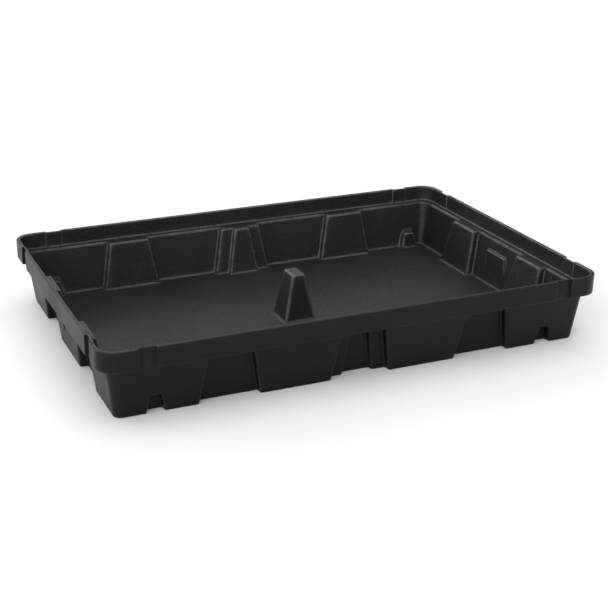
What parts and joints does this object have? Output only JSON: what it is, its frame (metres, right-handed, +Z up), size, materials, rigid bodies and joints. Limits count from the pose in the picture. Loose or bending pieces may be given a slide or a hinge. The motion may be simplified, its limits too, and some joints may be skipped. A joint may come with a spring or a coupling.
{
  "type": "spill containment pallet sump",
  "caption": "Open moulded spill containment tray with stepped tapering walls, an upright rim, a ledge for a deck, hand grips and a hollow centre post.",
  "frame": {"origin": "centre of the resting face, at the underside of the floor", "axes": "+X along the length, +Y from the front long side to the rear long side, +Z up"},
  "size_m": [1.2, 0.8, 0.165],
  "materials": {
    "polyethylene": "satin outside, coarse moulded grain inside"
  },
  "bodies": {
    "root": {"floor_panel": "polyethylene", "centre_post": "polyethylene", "wall_front": "polyethylene", "wall_rear": "polyethylene", "wall_left": "polyethylene", "wall_right": "polyethylene", "wall_front_left": "polyethylene", "wall_front_right": "polyethylene", "wall_rear_left": "polyethylene", "wall_rear_right": "polyethylene", "ledge_front": "polyethylene", "ledge_rear": "polyethylene", "ledge_left": "polyethylene", "ledge_right": "polyethylene", "ledge_front_left": "polyethylene", "ledge_front_right": "polyethylene", "ledge_rear_left": "polyethylene", "ledge_rear_right": "polyethylene", "rim_front": "polyethylene", "rim_rear": "polyethylene", "rim_left": "polyethylene", "rim_right": "polyethylene", "rim_front_left": "polyethylene", "rim_front_right": "polyethylene", "rim_rear_left": "polyethylene", "rim_rear_right": "polyethylene"}
  },
  "joints": []
}
